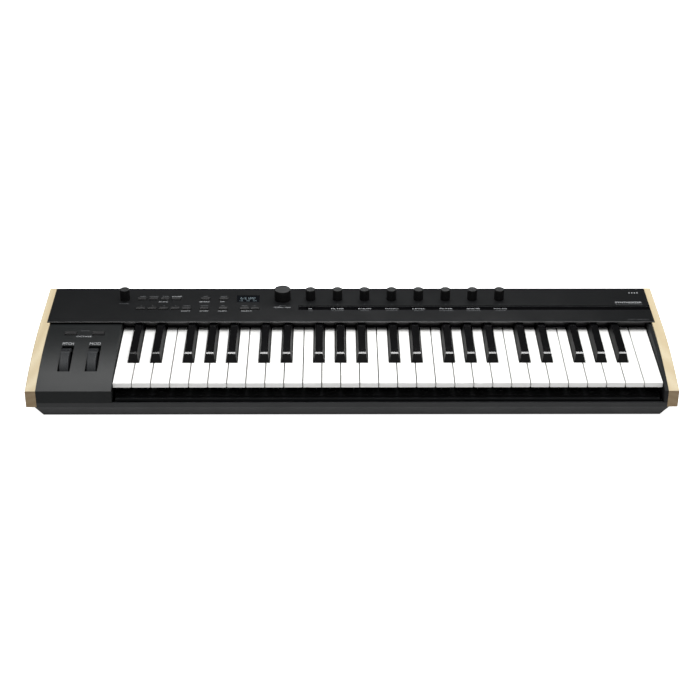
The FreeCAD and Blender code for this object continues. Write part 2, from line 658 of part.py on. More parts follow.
def control_boards():
    """Board under the top panel and the small one under the octave buttons, with their tact switches."""
    solids = [box(-312.0, 212.0, 46.0, 105.0, CONTROL_BOARD_Z, CONTROL_BOARD_Z + BOARD_THICKNESS)]
    solids.append(box(-375.0, -312.0, -9.0, 8.0, OCTAVE_BOARD_Z, OCTAVE_BOARD_Z + BOARD_THICKNESS))
    for x, y in panel_button_places():
        solids.append(tact_switch(x, y, CONTROL_BOARD_Z))
    for x in OCTAVE_BUTTON_X:
        solids.append(tact_switch(x, OCTAVE_BUTTON_Y, OCTAVE_BOARD_Z))
    return Part.makeCompound(solids)


def push_button(x, y, width, depth, surface, switch_top):
    """Button cap that stands proud of its panel, on a stem that reaches to its switch."""
    top = surface + BUTTON_PROUD
    cap = box(x - width / 2, x + width / 2, y - depth / 2, y + depth / 2, surface - 3.0, top)
    cap = rounded(cap, 0.5, lambda p: same(p.z, top))
    stem = rod_z(x, y, switch_top + BUTTON_TRAVEL + 0.1, surface - 3.0, 1.5)
    return cap.fuse(stem)


def rear_jacks():
    """Four 6.3 mm jack sockets, each with its threaded nose and hexagonal nut."""
    jacks = []
    for x in JACK_X:
        body = box(x - 7.0, x + 7.0, 91.0, CASE_REAR - WALL, MAIN_BOARD_Z + BOARD_THICKNESS, SOCKET_Z + 6.5)
        mouth = CASE_REAR + JACK_NOSE_PROUD
        nose = rod_y(x, CASE_REAR - WALL, mouth, SOCKET_Z, JACK_NOSE_RADIUS)
        angles = [math.radians(60 * corner) for corner in range(7)]
        corners = [V(x + JACK_NUT_RADIUS * math.cos(a), CASE_REAR, SOCKET_Z + JACK_NUT_RADIUS * math.sin(a))
                   for a in angles]
        nut = Part.Face(Part.makePolygon(corners)).extrude(V(0, JACK_NUT_DEPTH, 0))
        bore = rod_y(x, mouth - JACK_BORE_LENGTH, mouth, SOCKET_Z, JACK_BORE_RADIUS)
        jacks.append(join([body, nose, nut]).cut(bore))
    return Part.makeCompound(jacks)


def usb_socket():
    """Flat oval steel shell with its tongue, standing on the main board."""
    def oval(half_width, half_height, y0, y1):
        side = half_width - half_height
        middle = box(USB_X - side, USB_X + side, y0, y1, SOCKET_Z - half_height, SOCKET_Z + half_height)
        ends = [rod_y(USB_X + s, y0, y1, SOCKET_Z, half_height) for s in (-side, side)]
        return join([middle] + ends)
    shell = oval(4.5, 1.6, 104.0, CASE_REAR).cut(oval(4.2, 1.3, 105.0, CASE_REAR))
    tongue = box(USB_X - 3.3, USB_X + 3.3, 105.0, CASE_REAR - 1.0, SOCKET_Z - 0.35, SOCKET_Z + 0.35)
    foot = box(USB_X - 4.0, USB_X + 4.0, 104.0, 110.0, MAIN_BOARD_Z + BOARD_THICKNESS, SOCKET_Z - 1.5)
    return join([shell, tongue, foot])


def power_button():
    """Round push button in the rear panel, with its stem running into the case."""
    cap = rod_y(POWER_X, CASE_REAR - 4.0, CASE_REAR + 1.6, SOCKET_Z, 4.0)
    return cap.fuse(rod_y(POWER_X, 104.0, CASE_REAR - 4.0, SOCKET_Z, 1.6))


def main_board():
    """Main circuit board behind the keys, with the switch that the power button works."""
    board = box(-200.0, 90.0, 90.5, CASE_REAR - WALL, MAIN_BOARD_Z, MAIN_BOARD_Z + BOARD_THICKNESS)
    switch = box(POWER_X - 4.0, POWER_X + 4.0, 94.0, 102.4, MAIN_BOARD_Z + BOARD_THICKNESS, SOCKET_Z + 4.0)
    return Part.makeCompound([board, switch])


os.makedirs("parts", exist_ok=True)
save("bottom_case", bottom_case())
save("wood_side_left", wood_side(-1))
save("wood_side_right", wood_side(1))
save("top_panel", top_panel())
save("wheel_panel", wheel_panel())
save("right_cheek", swept_block(CHEEK_LEFT, INNER_X, BLOCK_REAR, FRONT_WALL_TOP, BLOCK_TOP))
save("rear_panel", rear_panel())
save("rubber_feet", rubber_feet())
save("case_screws", case_screws())
save_keys()
save("key_frame", key_frame())
save("key_pivot_rod", key_pivot_rod())
save("key_stop_felt", key_stop_felt())
save("key_spring_comb", key_spring_comb())
save("key_contact_board", key_contact_board())
save("key_contact_domes", key_contact_domes())
for node, knob_x in rotary_x().items():
    save(node, knob(knob_x, DIAL_RADIUS if node == "data_dial" else KNOB_RADIUS))
axle_end = BEARING_REACH + WHEEL_POT_BORE - 0.3
save("pitch_wheel", wheel_with_axle(WHEEL_X[0], WHEEL_X[0] - axle_end, WHEEL_X[0] + BEARING_REACH))
save("mod_wheel", wheel_with_axle(WHEEL_X[1], WHEEL_X[1] - BEARING_REACH, WHEEL_X[1] + axle_end))
save("wheel_bracket", wheel_bracket())
save("control_pots", control_pots())
save("control_boards", control_boards())
for node, places in panel_button_groups().items():
    switch_top = CONTROL_BOARD_Z + BOARD_THICKNESS + SWITCH_HEIGHT
    buttons = [push_button(x, y, BUTTON_WIDTH, BUTTON_DEPTH, PANEL_TOP, switch_top) for x, y in places]
    save(node, Part.makeCompound(buttons))
for node, button_x in zip(("octave_down_button", "octave_up_button"), OCTAVE_BUTTON_X):
    switch_top = OCTAVE_BOARD_Z + BOARD_THICKNESS + SWITCH_HEIGHT
    save(node, push_button(button_x, OCTAVE_BUTTON_Y, OCTAVE_BUTTON_WIDTH, OCTAVE_BUTTON_DEPTH,
                           BLOCK_TOP - 0.2, switch_top))
save("display_lens", display_box(0.0, PANEL_BOTTOM, PANEL_TOP - 0.3))
save("strip_lens", box(STRIP_LEFT + 0.3, PANEL_HALF_X - 0.5, STRIP_FRONT + 0.2, STRIP_REAR - 2.2,
                       PANEL_TOP - 1.2, PANEL_TOP - 0.5))
save("rear_jacks", rear_jacks())
save("usb_socket", usb_socket())
save("power_button", power_button())
save("main_board", main_board())
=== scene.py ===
import json
import math

import bmesh
import bpy
from mathutils import Matrix, Vector


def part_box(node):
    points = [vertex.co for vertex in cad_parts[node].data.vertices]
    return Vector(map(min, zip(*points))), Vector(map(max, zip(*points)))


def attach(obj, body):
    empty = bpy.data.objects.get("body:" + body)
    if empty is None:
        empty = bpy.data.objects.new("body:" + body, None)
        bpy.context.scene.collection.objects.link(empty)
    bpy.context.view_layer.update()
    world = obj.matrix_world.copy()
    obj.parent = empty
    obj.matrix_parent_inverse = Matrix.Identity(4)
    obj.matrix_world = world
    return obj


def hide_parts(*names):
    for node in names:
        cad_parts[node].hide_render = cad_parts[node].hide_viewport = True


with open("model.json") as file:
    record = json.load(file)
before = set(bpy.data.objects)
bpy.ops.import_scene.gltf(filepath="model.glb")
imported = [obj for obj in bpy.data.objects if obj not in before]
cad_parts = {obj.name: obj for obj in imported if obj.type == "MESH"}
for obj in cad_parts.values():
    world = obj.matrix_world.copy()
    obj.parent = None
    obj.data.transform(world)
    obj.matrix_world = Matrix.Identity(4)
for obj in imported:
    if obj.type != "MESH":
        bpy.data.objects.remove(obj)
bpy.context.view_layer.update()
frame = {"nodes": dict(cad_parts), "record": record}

# ---------------------------------------------------------------------------
# Camera: a long lens held square to the keys, a little left of the middle,
# looking down at about thirty degrees.
EYE = Vector((-0.0249, -1.8668, 1.1389))
LOOK_DOWN = math.radians(30.67)
TURN_RIGHT = math.radians(0.72)
ROLL = math.radians(0.326)
lens_data = bpy.data.cameras.new("camera")
lens_data.lens = 86.1
lens_data.shift_x = -0.0007
lens_data.shift_y = 0.0007
camera = bpy.data.objects.new("camera", lens_data)
bpy.context.collection.objects.link(camera)
aim = Matrix.Rotation(-TURN_RIGHT, 4, "Z") @ Matrix.Rotation(math.pi / 2 - LOOK_DOWN, 4, "X")
camera.matrix_world = Matrix.Translation(EYE) @ aim @ Matrix.Rotation(ROLL, 4, "Z")
bpy.context.scene.camera = camera

# ---------------------------------------------------------------------------
# Studio: a white table lit from within, so that nothing drops a shadow on it,
# a high sun over the player's head, a dim ceiling and three softboxes. The
# room behind is dim, so that the black plastics stay black.


def linear(code):
    """Linear RGBA from an sRGB hex colour."""
    parts = [int(code[i:i + 2], 16) / 255 for i in (0, 2, 4)]
    return [p / 12.92 if p <= 0.04045 else ((p + 0.055) / 1.055) ** 2.4 for p in parts] + [1.0]


def add(tree, kind, settings=None, links=None):
    """One shader node: settings are its properties or input values, links are other nodes' sockets."""
    made = tree.nodes.new("ShaderNode" + kind)
    for name, value in (settings or {}).items():
        if name in made.inputs:
            made.inputs[name].default_value = value
        else:
            setattr(made, name, value)
    for name, socket in (links or {}).items():
        tree.links.new(socket, made.inputs[name])
    return made


def material(name, settings):
    """New material with one Principled shader. Returns the material, its tree and the shader."""
    made = bpy.data.materials.new(name)
    made.use_nodes = True
    tree = made.node_tree
    tree.nodes.clear()
    shader = add(tree, "BsdfPrincipled", settings)
    add(tree, "OutputMaterial", None, {"Surface": shader.outputs["BSDF"]})
    return made, tree, shader


TABLE_SIZE = 60.0
GLOW_ON_OBJECT = 0.24
GLOW_TO_CAMERA = 1.0
bpy.ops.object.select_all(action="DESELECT")
bpy.ops.mesh.primitive_plane_add(size=TABLE_SIZE, location=(0, 0, 0))
floor = bpy.context.object
floor.name = "floor"
lit_table, tree, shader = material("lit_table_acrylic", {"Roughness": 0.9, "Specular IOR Level": 0.0,
                                                         "Emission Color": linear("ffffff"),
                                                         "Base Color": linear("c4c4c4")})
seen = add(tree, "MapRange", {"To Min": GLOW_ON_OBJECT, "To Max": GLOW_TO_CAMERA},
           {"Value": add(tree, "LightPath").outputs["Is Camera Ray"]})
tree.links.new(seen.outputs["Result"], shader.inputs["Emission Strength"])
# From below, the table is clear glass.
one_way = add(tree, "MixShader")
tree.links.new(add(tree, "NewGeometry").outputs["Backfacing"], one_way.inputs[0])
tree.links.new(shader.outputs["BSDF"], one_way.inputs[1])
tree.links.new(add(tree, "BsdfTransparent").outputs["BSDF"], one_way.inputs[2])
tree.links.new(one_way.outputs["Shader"], tree.nodes["Material Output"].inputs["Surface"])
floor.data.materials.append(lit_table)

scene = bpy.context.scene
scene.view_settings.view_transform = "Standard"
world = bpy.data.worlds.new("dim_room")
scene.world = world
world.use_nodes = True
world.node_tree.nodes["Background"].inputs["Color"].default_value = (1.0, 1.0, 1.0, 1.0)
world.node_tree.nodes["Background"].inputs["Strength"].default_value = 0.04


def soft_sun(name, strength, disc_degrees, tilt_degrees):
    """Even light from a disc of sky, tilted towards the player from straight overhead."""
    data = bpy.data.lights.new(name, "SUN")
    data.energy = strength
    data.angle = math.radians(disc_degrees)
    sun = bpy.data.objects.new(name, data)
    sun.rotation_euler = (math.radians(tilt_degrees), 0, 0)
    bpy.context.collection.objects.link(sun)


def softbox(name, watts, width, height, place, aim):
    """Rectangular light at place, turned to face aim."""
    data = bpy.data.lights.new(name, "AREA")
    data.shape = "RECTANGLE"
    data.size = width
    data.size_y = height
    data.energy = watts
    box = bpy.data.objects.new(name, data)
    box.location = place
    box.rotation_euler = (Vector(aim) - Vector(place)).to_track_quat("-Z", "Y").to_euler()
    bpy.context.collection.objects.link(box)


soft_sun("overhead", strength=2.0, disc_degrees=18, tilt_degrees=17)
soft_sun("ceiling", strength=0.55, disc_degrees=80, tilt_degrees=8)
# Straight over the black keys: the bright dash on the front edge of each.
softbox("strip_softbox", watts=6.0, width=1.0, height=0.06, place=(0.16, 0.02, 1.05), aim=(0.16, 0.02, 0.0))
# Behind the wheels: the sheen that grows towards the front of the wheel panel.
softbox("wheel_softbox", watts=0.7, width=0.36, height=0.3, place=(-0.45, 0.42, 0.76),
        aim=(-0.36, -0.08, 0.05))
# Low behind the knobs: the sheen on the front half of the top panel.
softbox("panel_softbox", watts=1.4, width=0.6, height=0.08, place=(0.06, 0.3, 0.45), aim=(0.06, 0.05, 0.05))

# ---------------------------------------------------------------------------
# Bottom case and rear wall: two shells injection moulded in black ABS with a
# fine spark texture. Four rubber feet are glued below and steel screws hold
# the key frame and the wooden sides.
MM = 0.001
nodes = frame["nodes"]
# A noise texture of scale 1 / size has blobs about that size across.
PATCH_MM = 40.0


def moulded(name, dark, light, grain_mm, polish, relief_mm, settings=None):
    """Moulded or painted surface. The colour drifts between dark and light over its grain, the roughness
    between the two values of polish over hand-sized patches, and the grain stands relief_mm high."""
    made, tree, shader = material(name, settings or {})
    place = add(tree, "TexCoord").outputs["Object"]
    grain = add(tree, "TexNoise", {"Scale": 1 / (grain_mm * MM), "Detail": 4.0}, {"Vector": place})
    patches = add(tree, "TexNoise", {"Scale": 1 / (PATCH_MM * MM), "Detail": 3.0}, {"Vector": place})
    colour = add(tree, "MixRGB", {"Color1": linear(dark), "Color2": linear(light)},
                 {"Fac": grain.outputs["Fac"]})
    gloss = add(tree, "MapRange", {"From Min": 0.3, "From Max": 0.7,
                                   "To Min": polish[0], "To Max": polish[1]},
                {"Value": patches.outputs["Fac"]})
    raised = add(tree, "Bump", {"Strength": 0.6, "Distance": relief_mm * MM},
                 {"Height": grain.outputs["Fac"]})
    tree.links.new(colour.outputs["Color"], shader.inputs["Base Color"])
    tree.links.new(gloss.outputs["Result"], shader.inputs["Roughness"])
    tree.links.new(raised.outputs["Normal"], shader.inputs["Normal"])
    return made


def dress(node_names, finish):
    """Gives CAD nodes their finish."""
    for name in node_names:
        mesh = nodes[name].data
        mesh.materials.clear()
        mesh.materials.append(finish)


# Spark-eroded ABS: an even matt grain. The real grain of 0.1 mm is drawn at 0.6 mm so that it shows.
case_abs = moulded("spark_textured_abs", "090b0d", "0f1215", 0.6, (0.45, 0.55), 0.04)
dress(["bottom_case", "rear_panel"], case_abs)

# Moulded rubber: dull, with a slightly dusty bloom.
dress(["rubber_feet"], moulded("moulded_rubber", "131313", "202020", 0.8, (0.75, 0.9), 0.05))


def metal(name, dark, light, streak_mm, polish):
    """Metal whose brush or rolling marks run along X."""
    made, tree, shader = material(name, {"Metallic": 1.0})
    place = add(tree, "TexCoord").outputs["Object"]
    drawn = add(tree, "Mapping", {"Scale": (0.05, 1.0, 1.0)}, {"Vector": place}).outputs["Vector"]
    marks = add(tree, "TexNoise", {"Scale": 1 / (streak_mm * MM), "Detail": 3.0}, {"Vector": drawn})
    colour = add(tree, "MixRGB", {"Color1": linear(dark), "Color2": linear(light)},
                 {"Fac": marks.outputs["Fac"]})
    gloss = add(tree, "MapRange", {"To Min": polish[0], "To Max": polish[1]},
                {"Value": marks.outputs["Fac"]})
    tree.links.new(colour.outputs["Color"], shader.inputs["Base Color"])
    tree.links.new(gloss.outputs["Result"], shader.inputs["Roughness"])
    return made


# Zinc plate: pale, slightly cloudy steel.
zinc = metal("zinc_plated_steel", "9a9c9e", "c4c6c8", 0.5, (0.25, 0.45))
dress(["case_screws", "key_pivot_rod", "usb_socket"], zinc)

# ---------------------------------------------------------------------------
# Wooden sides: pale maple planks, bandsawn to the swept outline and given a
# clear matt lacquer. Growth rings run the plank's length and show as arcs on
# the end grain at the front and rear. Those end faces are darkened partly for
# the end grain's own tone and partly as painted shade.
RING_MM = 6.3
FIBRE_MM = 0.7
PORE_DEPTH = 0.05 * MM
# The length of one wave in a wave texture of scale 1.
WAVE_LENGTH = 0.315
maple, tree, shader = material("lacquered_maple", {"Coat Weight": 0.15, "Coat Roughness": 0.3})
place = add(tree, "TexCoord").outputs["Object"]
along = add(tree, "Mapping", {"Scale": (1.0, 0.04, 1.0)}, {"Vector": place}).outputs["Vector"]
pith = add(tree, "Mapping", {"Location": (0.0, 0.0, 0.09), "Scale": (0.35, 0.02, 1.0)}, {"Vector": place})
rings = add(tree, "TexWave", {"wave_type": "RINGS", "rings_direction": "Y", "Distortion": 3.0,
                              "Scale": WAVE_LENGTH / (RING_MM * MM), "Detail": 2.0, "Detail Scale": 1.5},
            {"Vector": pith.outputs["Vector"]})
fibre = add(tree, "TexNoise", {"Scale": 1 / (FIBRE_MM * MM), "Detail": 5.0}, {"Vector": along})
grain = add(tree, "MixRGB", {"Color1": linear("cabd9f"), "Color2": linear("c0b08f")},
            {"Fac": rings.outputs["Fac"]})
fleck = add(tree, "MapRange", {"From Min": 0.55, "From Max": 0.8, "To Min": 0.0, "To Max": 0.5},
            {"Value": fibre.outputs["Fac"]})
flecked = add(tree, "MixRGB", {"Color2": linear("b9a27c")},
              {"Color1": grain.outputs["Color"], "Fac": fleck.outputs["Result"]})
# Faces that look along the plank, its ends, are multiplied darker: partly the end grain's own tone, partly
# painted shade for the light they miss.
facing = add(tree, "SeparateXYZ", None, {"Vector": add(tree, "NewGeometry").outputs["Normal"]})
end_on = add(tree, "Math", {"operation": "ABSOLUTE"}, {"Value": facing.outputs["Y"]})
end_grain_and_shade_mask = add(tree, "MapRange", {"From Min": 0.8, "From Max": 0.95}, {"Value": end_on.outputs["Value"]})
end_grain_and_shade = add(tree, "MixRGB", {"blend_type": "MULTIPLY", "Color2": linear("b4a592")},
           {"Fac": end_grain_and_shade_mask.outputs["Result"], "Color1": flecked.outputs["Color"]})
lacquer = add(tree, "MapRange", {"To Min": 0.42, "To Max": 0.6}, {"Value": fibre.outputs["Fac"]})
pores = add(tree, "Bump", {"Strength": 0.4, "Distance": PORE_DEPTH}, {"Height": fibre.outputs["Fac"]})
tree.links.new(end_grain_and_shade.outputs["Color"], shader.inputs["Base Color"])
tree.links.new(lacquer.outputs["Result"], shader.inputs["Roughness"])
tree.links.new(pores.outputs["Normal"], shader.inputs["Normal"])
dress(["wood_side_left", "wood_side_right"], maple)

# ---------------------------------------------------------------------------
# Top panel, wheel panel and right cheek: ABS mouldings sprayed with a satin
# charcoal paint. The panel screws down from below, and the two end mouldings
# sweep down to the front between the keys and the wood.


def matt_walls(made):
    """Makes upright faces duller than the rest, as they leave the mould or miss the spray."""
    tree = made.node_tree
    shader = tree.nodes["Principled BSDF"]
    facing = add(tree, "SeparateXYZ", None, {"Vector": add(tree, "NewGeometry").outputs["Normal"]})
    upward = add(tree, "Math", {"operation": "ABSOLUTE"}, {"Value": facing.outputs["Z"]}).outputs["Value"]
    duller = add(tree, "MapRange", {"From Min": 0.3, "From Max": 0.5, "To Min": 0.4, "To Max": 0.0},
                 {"Value": upward})
    dimmer = add(tree, "MapRange", {"From Min": 0.3, "From Max": 0.5, "To Min": 0.2, "To Max": 0.5},
                 {"Value": upward})
    painted = shader.inputs["Roughness"].links[0].from_socket
    rougher = add(tree, "Math", {"operation": "ADD"}, {"Value": painted})
    tree.links.new(duller.outputs["Result"], rougher.inputs[1])
    tree.links.new(rougher.outputs["Value"], shader.inputs["Roughness"])
    tree.links.new(dimmer.outputs["Result"], shader.inputs["Specular IOR Level"])


# Sprayed satin paint: charcoal, with a fine orange peel.
dress(["top_panel"], moulded("sprayed_satin_paint", "0f1011", "141516", 0.9, (0.28, 0.33), 0.03))
# The end mouldings have a paler copy of it: painted light, standing in for the sheen their curved tops
# catch. Their walls are duller, as the coat misses them.
lightened_paint_copy = moulded("paint_lightened_for_sheen", "17191a", "1d1f1f", 0.9, (0.28, 0.33), 0.03)
matt_walls(lightened_paint_copy)
dress(["wheel_panel", "right_cheek"], lightened_paint_copy)

# ---------------------------------------------------------------------------
# Display strip and window: a long glossy acrylic strip bedded in the panel
# below the knobs, and a clear window over a small graphic display.


def polished(name, code, wipe_mm, polish, settings=None):
    """Polished sheet: one body colour with faint wipe marks in the gloss."""
    made, tree, shader = material(name, {"Base Color": linear(code), **(settings or {})})
    place = add(tree, "TexCoord").outputs["Object"]
    wipes = add(tree, "TexNoise", {"Scale": 1 / (wipe_mm * MM), "Detail": 5.0}, {"Vector": place})
    wiped = add(tree, "MapRange", {"From Min": 0.3, "From Max": 0.7,
                                   "To Min": polish[0], "To Max": polish[1]},
                {"Value": wipes.outputs["Fac"]})
    tree.links.new(wiped.outputs["Result"], shader.inputs["Roughness"])
    return made


# Black acrylic: deep black, near-mirror gloss with faint wipe marks.
dress(["strip_lens"], polished("polished_black_acrylic", "020203", 6.0, (0.06, 0.16),
                               {"Specular IOR Level": 0.3}))
# Display window: dark blue-black under clear acrylic.
dress(["display_lens"], polished("display_window_acrylic", "080a0e", 5.0, (0.05, 0.12), {"IOR": 1.49}))

# ---------------------------------------------------------------------------
# Keys: hollow injection-moulded levers. Naturals are polished white ABS and
# sharps are black with a soft sheen. Each hangs on the steel rod at its rear.
record = frame["record"]

# White key ABS: bright, glossy, with the faintest moulding ripple.
white_abs = moulded("polished_white_key_abs", "f0f0ee", "f6f6f4", 9.0, (0.14, 0.22), 0.02, {"IOR": 1.53})
# Black key ABS: polished on top, and matt on the walls that were drawn out of the mould.
black_abs = moulded("satin_black_key_abs", "030304", "050506", 2.0, (0.16, 0.2), 0.008, {"IOR": 1.5})
matt_walls(black_abs)
for slot_name, finish in (("white_key_plastic", white_abs), ("black_key_plastic", black_abs)):
    dress([part["node"] for part in record["subparts"] if part["material_slot"] == slot_name], finish)

# ---------------------------------------------------------------------------
# Key bed: a black glass-filled chassis with a felt landing strip, a spring
# comb, and the contact board with its rubber domes.

# Glass-filled nylon: matt black with a cloudy skin.
bed_plastic = moulded("glass_filled_nylon", "101214", "171a1c", 1.5, (0.6, 0.75), 0.05)
dress(["key_frame", "wheel_bracket"], bed_plastic)
# Needled felt: short tangled fibres with a pale fuzz at grazing angles.
dress(["key_stop_felt"], moulded("needled_felt", "0c0e10", "15171a", 0.5, (0.9, 1.0), 0.25,
                                 {"Sheen Weight": 0.1, "Sheen Roughness": 0.5}))
# Blued spring steel: darker than plate, with rolling marks.
dress(["key_spring_comb"], metal("blued_spring_steel", "5d6066", "83868c", 0.4, (0.3, 0.4)))
# Potentiometer cans: stamped nickel silver.
dress(["control_pots"], metal("stamped_pot_cans", "85878a", "a6a8ab", 0.6, (0.3, 0.5)))
# Silicone rubber: translucent grey domes.
dress(["key_contact_domes"], moulded("moulded_silicone", "85878a", "999b9e", 0.7, (0.5, 0.65), 0.02))

# Circuit board: green solder mask over copper tracks.
TRACK_MM = 1.5
CLOUD_MM = 3.0
# The height of one row in a brick texture of scale 1.
BRICK_ROW = 0.25
mask, tree, shader = material("green_solder_mask", {"Coat Weight": 0.2})
place = add(tree, "TexCoord").outputs["Object"]
tracks = add(tree, "TexBrick", {"Color1": linear("1c5633"), "Color2": linear("174a2c"),
                                "Mortar": linear("0e3320"), "Mortar Size": 0.02,
                                "Scale": BRICK_ROW / (TRACK_MM * MM)}, {"Vector": place})
clouds = add(tree, "TexNoise", {"Scale": 1 / (CLOUD_MM * MM), "Detail": 3.0}, {"Vector": place})
glossy = add(tree, "MapRange", {"To Min": 0.3, "To Max": 0.45}, {"Value": clouds.outputs["Fac"]})
tree.links.new(tracks.outputs["Color"], shader.inputs["Base Color"])
tree.links.new(glossy.outputs["Result"], shader.inputs["Roughness"])
dress(["control_boards", "main_board", "key_contact_board"], mask)

# Jack bodies: black nylon with a slight sheen.
dress(["rear_jacks"], moulded("moulded_nylon", "111112", "1b1b1c", 0.8, (0.35, 0.5), 0.03))

# ---------------------------------------------------------------------------
# Knobs and data dial: black moulded caps with fine vertical flutes, a raised
# rim and a dished grey top, each pushed onto a steel shaft through the panel.
CLOSE = 0.1 * MM
KNOB_HEIGHT = 14.6 * MM
KNOB_TAPER = 0.97
KNOB_ROUNDING = 0.3 * MM
FLUTE_EDGE = 0.08 * MM
FLUTE_DEPTH = 0.22 * MM
SMALLEST_SIDE_FACE = 2 * MM * MM
RIM_WIDTH = 0.25 * MM
RIM_SLOPE = 0.2 * MM
RIM_DEPTH = 0.25 * MM
KNOB_DISH = 0.15 * MM
SHAFT_RADIUS = 3.0 * MM
SHAFT_OVERLAP = 0.5 * MM
SHAFT_CHAMFER = 0.3 * MM


def begin(name, kind, **size):
    """A primitive added on its own, with its place in its mesh."""
    bpy.ops.object.select_all(action="DESELECT")
    getattr(bpy.ops.mesh, "primitive_" + kind + "_add")(**size)
    piece = bpy.context.object
    piece.name = name
    piece.data.name = name
    bpy.ops.object.transform_apply(location=True, rotation=True, scale=True)
    return piece


def pick(piece, kind, test):
    """In edit mode, selects only the faces or edges that pass the test."""
    bpy.ops.mesh.select_mode(type=kind)
    bpy.ops.mesh.select_all(action="DESELECT")
    shape = bmesh.from_edit_mesh(piece.data)
    shape.normal_update()
    for item in shape.faces if kind == "FACE" else shape.edges:
        if test(item):
            item.select_set(True)
    bmesh.update_edit_mesh(piece.data)


def join(pieces, name):
    """One object from several, smooth except at sharp corners."""
    bpy.ops.object.select_all(action="DESELECT")
    for piece in pieces:
        piece.select_set(True)
    bpy.context.view_layer.objects.active = pieces[0]
    if len(pieces) > 1:
        bpy.ops.object.join()
    bpy.ops.object.shade_smooth_by_angle(angle=math.radians(32))
    pieces[0].name = name
    pieces[0].data.name = name
    return pieces[0]


def middle(face):
    return face.calc_center_median()


# Knob sides: matt black with a rubbery grain. Tops: a lighter satin plastic.
knob_black = moulded("matt_black_knob_abs", "020203", "040405", 0.5, (0.6, 0.7), 0.03,
                     {"Specular IOR Level": 0.3})
knob_grey = moulded("satin_knob_top", "1f2021", "262728", 0.6, (0.45, 0.55), 0.02)
shaft_steel = metal("turned_shaft_steel", "8f9194", "b4b6b8", 0.3, (0.2, 0.35))
joint_places = {joint["name"]: joint["pos_m"] for joint in record["behaviour"]["joints"]
                if "pos_m" in joint}


def knob(node, flutes):
    """Fluted cap on its shaft, the size of the CAD node."""
    low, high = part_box(node)
    radius = (high.x - low.x) / 2
    x = (low.x + high.x) / 2
    y = (low.y + high.y) / 2
    top = high.z
    cap = begin(node + "_cap", "cylinder", vertices=flutes * 2, radius=radius, depth=KNOB_HEIGHT,
                location=(x, y, top - KNOB_HEIGHT / 2))
    cap.data.materials.append(knob_black)
    cap.data.materials.append(knob_grey)
    cap.data.materials.append(shaft_steel)
    bpy.ops.object.mode_set(mode="EDIT")
    pick(cap, "FACE", lambda f: f.normal.z > 0.9)
    bpy.ops.transform.resize(value=(KNOB_TAPER, KNOB_TAPER, 1.0), center_override=(x, y, top))
    pick(cap, "EDGE", lambda e: all(v.co.z > top - CLOSE for v in e.verts))
    bpy.ops.mesh.bevel(offset=KNOB_ROUNDING, segments=3, affect="EDGES")
    # Every second side face sinks into a flute.
    pick(cap, "FACE", lambda f: abs(f.normal.z) < 0.3 and f.calc_area() > SMALLEST_SIDE_FACE
         and round(math.atan2(middle(f).y - y, middle(f).x - x) * flutes / math.pi - 0.5) % 2 == 0)
    bpy.ops.mesh.inset(thickness=FLUTE_EDGE, depth=-FLUTE_DEPTH, use_individual=True)
    pick(cap, "FACE", lambda f: f.normal.z > 0.99 and len(f.verts) > 20)
    bpy.ops.mesh.inset(thickness=RIM_WIDTH, depth=0.0)
    bpy.ops.mesh.inset(thickness=RIM_SLOPE, depth=-RIM_DEPTH)
    cap.active_material_index = 1
    bpy.ops.object.material_slot_assign()
    bpy.ops.mesh.inset(thickness=radius / 2, depth=-KNOB_DISH)
    bpy.ops.object.mode_set(mode="OBJECT")
    shaft_top = top - KNOB_HEIGHT + SHAFT_OVERLAP
    shaft = begin(node + "_shaft", "cylinder", vertices=32, radius=SHAFT_RADIUS, depth=shaft_top - low.z,
                  location=(x, y, (shaft_top + low.z) / 2))
    shaft.data.materials.append(shaft_steel)
    bpy.ops.object.mode_set(mode="EDIT")
    pick(shaft, "EDGE", lambda e: all(v.co.z < low.z + CLOSE for v in e.verts))
    bpy.ops.mesh.bevel(offset=SHAFT_CHAMFER, segments=2, affect="EDGES")
    bpy.ops.object.mode_set(mode="OBJECT")
    whole = join([cap, shaft], node + "_fluted")
    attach(whole, node)
    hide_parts(node)


knob("data_dial", 44)
for node in ["volume_knob"] + ["knob_" + str(number + 1) for number in range(8)]:
    knob(node, 30)

# ---------------------------------------------------------------------------
# Pitch and modulation wheels: grey soft-touch wheels on plastic axles, with
# fine grooves round the rim and a finger notch across the top.
WHEEL_WIDTH = 11.4 * MM
WHEEL_ROUNDING = 1.0 * MM
AXLE_RADIUS = 2.5 * MM
AXLE_CHAMFER = 0.3 * MM
NOTCH_RADIUS = 2.8 * MM
NOTCH_RISE = 0.5 * MM
GROOVES = 5
GROOVE_PITCH = 1.9 * MM
GROOVE_WIDTH = 0.8 * MM
GROOVE_SLOPE = 0.12 * MM
GROOVE_DEPTH = 0.6 * MM
TYRE_HEIGHT = 3.0 * MM
DISH_SLOPE = 1.0 * MM
DISH_DEPTH = 1.6 * MM

# Soft-touch paint: dark blue-grey that hardly mirrors anything.
soft_touch = moulded("soft_touch_wheel_paint", "15181b", "1b1e21", 0.6, (0.6, 0.7), 0.03)


